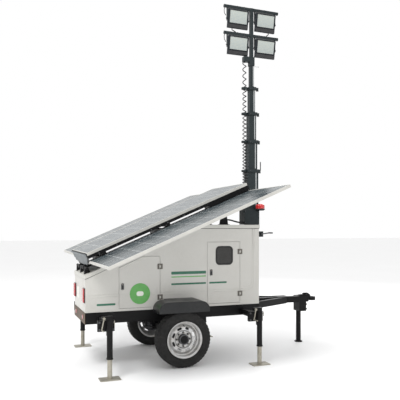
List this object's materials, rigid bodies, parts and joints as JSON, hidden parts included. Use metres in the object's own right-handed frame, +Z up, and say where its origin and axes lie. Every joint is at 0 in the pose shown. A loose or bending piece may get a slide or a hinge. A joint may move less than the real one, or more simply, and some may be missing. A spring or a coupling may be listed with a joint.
{
  "type": "solar lighting tower trailer",
  "caption": "Single-axle trailer with a white cabinet, tilted solar panels, telescopic mast and LED floodlights.",
  "frame": {"origin": "on the ground below the middle of the overall box", "axes": "+X forward to the tow eye, +Y to the left, +Z up"},
  "size_m": [3.034, 2.78, 4.186],
  "materials": {
    "black_steel": "satin black paint",
    "cabinet_paint": "semi gloss off-white powder coat",
    "hinge_metal": "satin dark",
    "red_lens": "gloss red",
    "battery_case": "matte dark",
    "control_paint": "satin light grey",
    "cable_rubber": "matte black",
    "mast_paint": "dark grey anodised",
    "tyre": "matte black",
    "rim": "silver paint",
    "hub": "dark paint",
    "jack_leg": "zinc plated",
    "window_glass": "tinted glass in a dark seal",
    "panel": "anodised frame with dark blue cells under glass",
    "lamp_housing": "dark powder coat"
  },
  "bodies": {
    "trailer": {"chassis_frame": "black_steel", "drawbar_frame": "black_steel", "tow_eye": "black_steel", "axle_beam": "black_steel", "leaf_springs": "black_steel", "fenders": "black_steel", "cabinet_shell": "cabinet_paint", "cabinet_roof": "cabinet_paint", "door_hinges": "hinge_metal", "tail_lamps": "red_lens", "battery_bank": "battery_case", "control_box": "control_paint", "outrigger_sleeves": "black_steel", "prop_clamp": "black_steel", "panel_mounts": "black_steel", "roof_cable": "cable_rubber", "mast_housing": "mast_paint", "mast_section_1": "mast_paint", "winch_body": "mast_paint", "beacon_lamp": "red_lens", "mast_cable": "cable_rubber"},
    "wheel_right": {"tyre_right": "tyre", "rim_right": "rim", "hub_right": "hub"},
    "wheel_left": {"tyre_left": "tyre", "rim_left": "rim", "hub_left": "hub"},
    "outrigger_front_right": {"jack_tube_front_right": "black_steel"},
    "leg_front_right": {"jack_leg_front_right": "jack_leg"},
    "crank_front_right": {"jack_crank_front_right": "jack_leg"},
    "outrigger_front_left": {"jack_tube_front_left": "black_steel"},
    "leg_front_left": {"jack_leg_front_left": "jack_leg"},
    "crank_front_left": {"jack_crank_front_left": "jack_leg"},
    "outrigger_rear_right": {"jack_tube_rear_right": "black_steel"},
    "leg_rear_right": {"jack_leg_rear_right": "jack_leg"},
    "crank_rear_right": {"jack_crank_rear_right": "jack_leg"},
    "outrigger_rear_left": {"jack_tube_rear_left": "black_steel"},
    "leg_rear_left": {"jack_leg_rear_left": "jack_leg"},
    "crank_rear_left": {"jack_crank_rear_left": "jack_leg"},
    "prop": {"prop_leg": "black_steel"},
    "door_rear_right": {"door_rear_right": "cabinet_paint"},
    "door_rear_left": {"door_rear_left": "cabinet_paint"},
    "door_front_right": {"door_front_right": "cabinet_paint", "window_right": "window_glass"},
    "door_front_left": {"door_front_left": "cabinet_paint", "window_left": "window_glass"},
    "panel_rack": {"panel_rack": "black_steel", "panel_centre": "panel"},
    "panel_right": {"panel_right": "panel"},
    "panel_left": {"panel_left": "panel"},
    "mast_section_2": {"mast_section_2": "mast_paint"},
    "mast_section_3": {"mast_section_3": "mast_paint"},
    "mast_section_4": {"mast_section_4": "mast_paint"},
    "mast_section_5": {"mast_section_5": "mast_paint", "lamp_frame": "mast_paint"},
    "floodlight_1": {"floodlight_1": "lamp_housing"},
    "floodlight_2": {"floodlight_2": "lamp_housing"},
    "floodlight_3": {"floodlight_3": "lamp_housing"},
    "floodlight_4": {"floodlight_4": "lamp_housing"},
    "winch_crank": {"winch_crank": "mast_paint"}
  },
  "joints": [
    {"name": "wheel_spin_right", "type": "hinge", "parent": "trailer", "child": "wheel_right", "pos_m": [-0.513, -0.6, 0.297], "axis": [0, 1, 0], "continuous": true},
    {"name": "wheel_spin_left", "type": "hinge", "parent": "trailer", "child": "wheel_left", "pos_m": [-0.513, 0.6, 0.297], "axis": [0, 1, 0], "continuous": true},
    {"name": "outrigger_slide_front_right", "type": "slide", "parent": "trailer", "child": "outrigger_front_right", "axis": [0, -1, 0], "range_m": [-0.25, 0]},
    {"name": "leg_slide_front_right", "type": "slide", "parent": "outrigger_front_right", "child": "leg_front_right", "axis": [0, 0, 1], "range_m": [0, 0.15]},
    {"name": "crank_spin_front_right", "type": "hinge", "parent": "outrigger_front_right", "child": "crank_front_right", "pos_m": [0.234, -0.842, 0.598], "axis": [0, 1, 0], "continuous": true},
    {"name": "outrigger_slide_front_left", "type": "slide", "parent": "trailer", "child": "outrigger_front_left", "axis": [0, 1, 0], "range_m": [-0.25, 0]},
    {"name": "leg_slide_front_left", "type": "slide", "parent": "outrigger_front_left", "child": "leg_front_left", "axis": [0, 0, 1], "range_m": [0, 0.15]},
    {"name": "crank_spin_front_left", "type": "hinge", "parent": "outrigger_front_left", "child": "crank_front_left", "pos_m": [0.234, 0.842, 0.598], "axis": [0, 1, 0], "continuous": true},
    {"name": "outrigger_slide_rear_right", "type": "slide", "parent": "trailer", "child": "outrigger_rear_right", "axis": [0, -1, 0], "range_m": [-0.25, 0]},
    {"name": "leg_slide_rear_right", "type": "slide", "parent": "outrigger_rear_right", "child": "leg_rear_right", "axis": [0, 0, 1], "range_m": [0, 0.15]},
    {"name": "crank_spin_rear_right", "type": "hinge", "parent": "outrigger_rear_right", "child": "crank_rear_right", "pos_m": [-1.395, -0.842, 0.598], "axis": [0, 1, 0], "continuous": true},
    {"name": "outrigger_slide_rear_left", "type": "slide", "parent": "trailer", "child": "outrigger_rear_left", "axis": [0, 1, 0], "range_m": [-0.25, 0]},
    {"name": "leg_slide_rear_left", "type": "slide", "parent": "outrigger_rear_left", "child": "leg_rear_left", "axis": [0, 0, 1], "range_m": [0, 0.15]},
    {"name": "crank_spin_rear_left", "type": "hinge", "parent": "outrigger_rear_left", "child": "crank_rear_left", "pos_m": [-1.395, 0.842, 0.598], "axis": [0, 1, 0], "continuous": true},
    {"name": "prop_slide", "type": "slide", "parent": "trailer", "child": "prop", "axis": [0, 0, 1], "range_m": [0, 0.3]},
    {"name": "door_rear_right_swing", "type": "hinge", "parent": "trailer", "child": "door_rear_right", "pos_m": [-0.6865, -0.3683, 0.9], "axis": [0, 0, 1], "range_deg": [0, 40]},
    {"name": "door_rear_left_swing", "type": "hinge", "parent": "trailer", "child": "door_rear_left", "pos_m": [-0.6865, 0.3683, 0.9], "axis": [0, 0, -1], "range_deg": [0, 40]},
    {"name": "door_front_right_swing", "type": "hinge", "parent": "trailer", "child": "door_front_right", "pos_m": [0.2745, -0.3683, 0.9], "axis": [0, 0, 1], "range_deg": [0, 105]},
    {"name": "door_front_left_swing", "type": "hinge", "parent": "trailer", "child": "door_front_left", "pos_m": [0.2745, 0.3683, 0.9], "axis": [0, 0, -1], "range_deg": [0, 105]},
    {"name": "rack_tilt", "type": "hinge", "parent": "trailer", "child": "panel_rack", "pos_m": [-1.468, 0, 1.046], "axis": [0, -1, 0], "range_deg": [0, 18]},
    {"name": "panel_slide_right", "type": "slide", "parent": "panel_rack", "child": "panel_right", "axis": [0, -1, 0], "range_m": [-0.84, 0]},
    {"name": "panel_slide_left", "type": "slide", "parent": "panel_rack", "child": "panel_left", "axis": [0, 1, 0], "range_m": [-0.84, 0]},
    {"name": "mast_slide_2", "type": "slide", "parent": "trailer", "child": "mast_section_2", "axis": [0, 0, 1], "range_m": [-0.25, 0.9], "deforming": ["mast_cable"]},
    {"name": "mast_slide_3", "type": "slide", "parent": "mast_section_2", "child": "mast_section_3", "axis": [0, 0, 1], "range_m": [-0.25, 0.9]},
    {"name": "mast_slide_4", "type": "slide", "parent": "mast_section_3", "child": "mast_section_4", "axis": [0, 0, 1], "range_m": [-0.25, 0.9]},
    {"name": "mast_slide_5", "type": "slide", "parent": "mast_section_4", "child": "mast_section_5", "axis": [0, 0, 1], "range_m": [-0.25, 0.9]},
    {"name": "floodlight_tilt_1", "type": "hinge", "parent": "mast_section_5", "child": "floodlight_1", "pos_m": [0.415, 0, 4.0215], "axis": [1, 0, 0], "range_deg": [-20, 20]},
    {"name": "floodlight_tilt_2", "type": "hinge", "parent": "mast_section_5", "child": "floodlight_2", "pos_m": [0.787, 0, 4.0215], "axis": [1, 0, 0], "range_deg": [-20, 20]},
    {"name": "floodlight_tilt_3", "type": "hinge", "parent": "mast_section_5", "child": "floodlight_3", "pos_m": [0.415, 0, 3.6995], "axis": [1, 0, 0], "range_deg": [-20, 20]},
    {"name": "floodlight_tilt_4", "type": "hinge", "parent": "mast_section_5", "child": "floodlight_4", "pos_m": [0.787, 0, 3.6995], "axis": [1, 0, 0], "range_deg": [-20, 20]},
    {"name": "winch_crank_spin", "type": "hinge", "parent": "trailer", "child": "winch_crank", "pos_m": [0.703, 0, 1.395], "axis": [0, 1, 0], "continuous": true}
  ],
  "couplings": [
    {"joint": "mast_slide_3", "follows": "mast_slide_2", "ratio": 1},
    {"joint": "mast_slide_4", "follows": "mast_slide_2", "ratio": 1},
    {"joint": "mast_slide_5", "follows": "mast_slide_2", "ratio": 1}
  ]
}
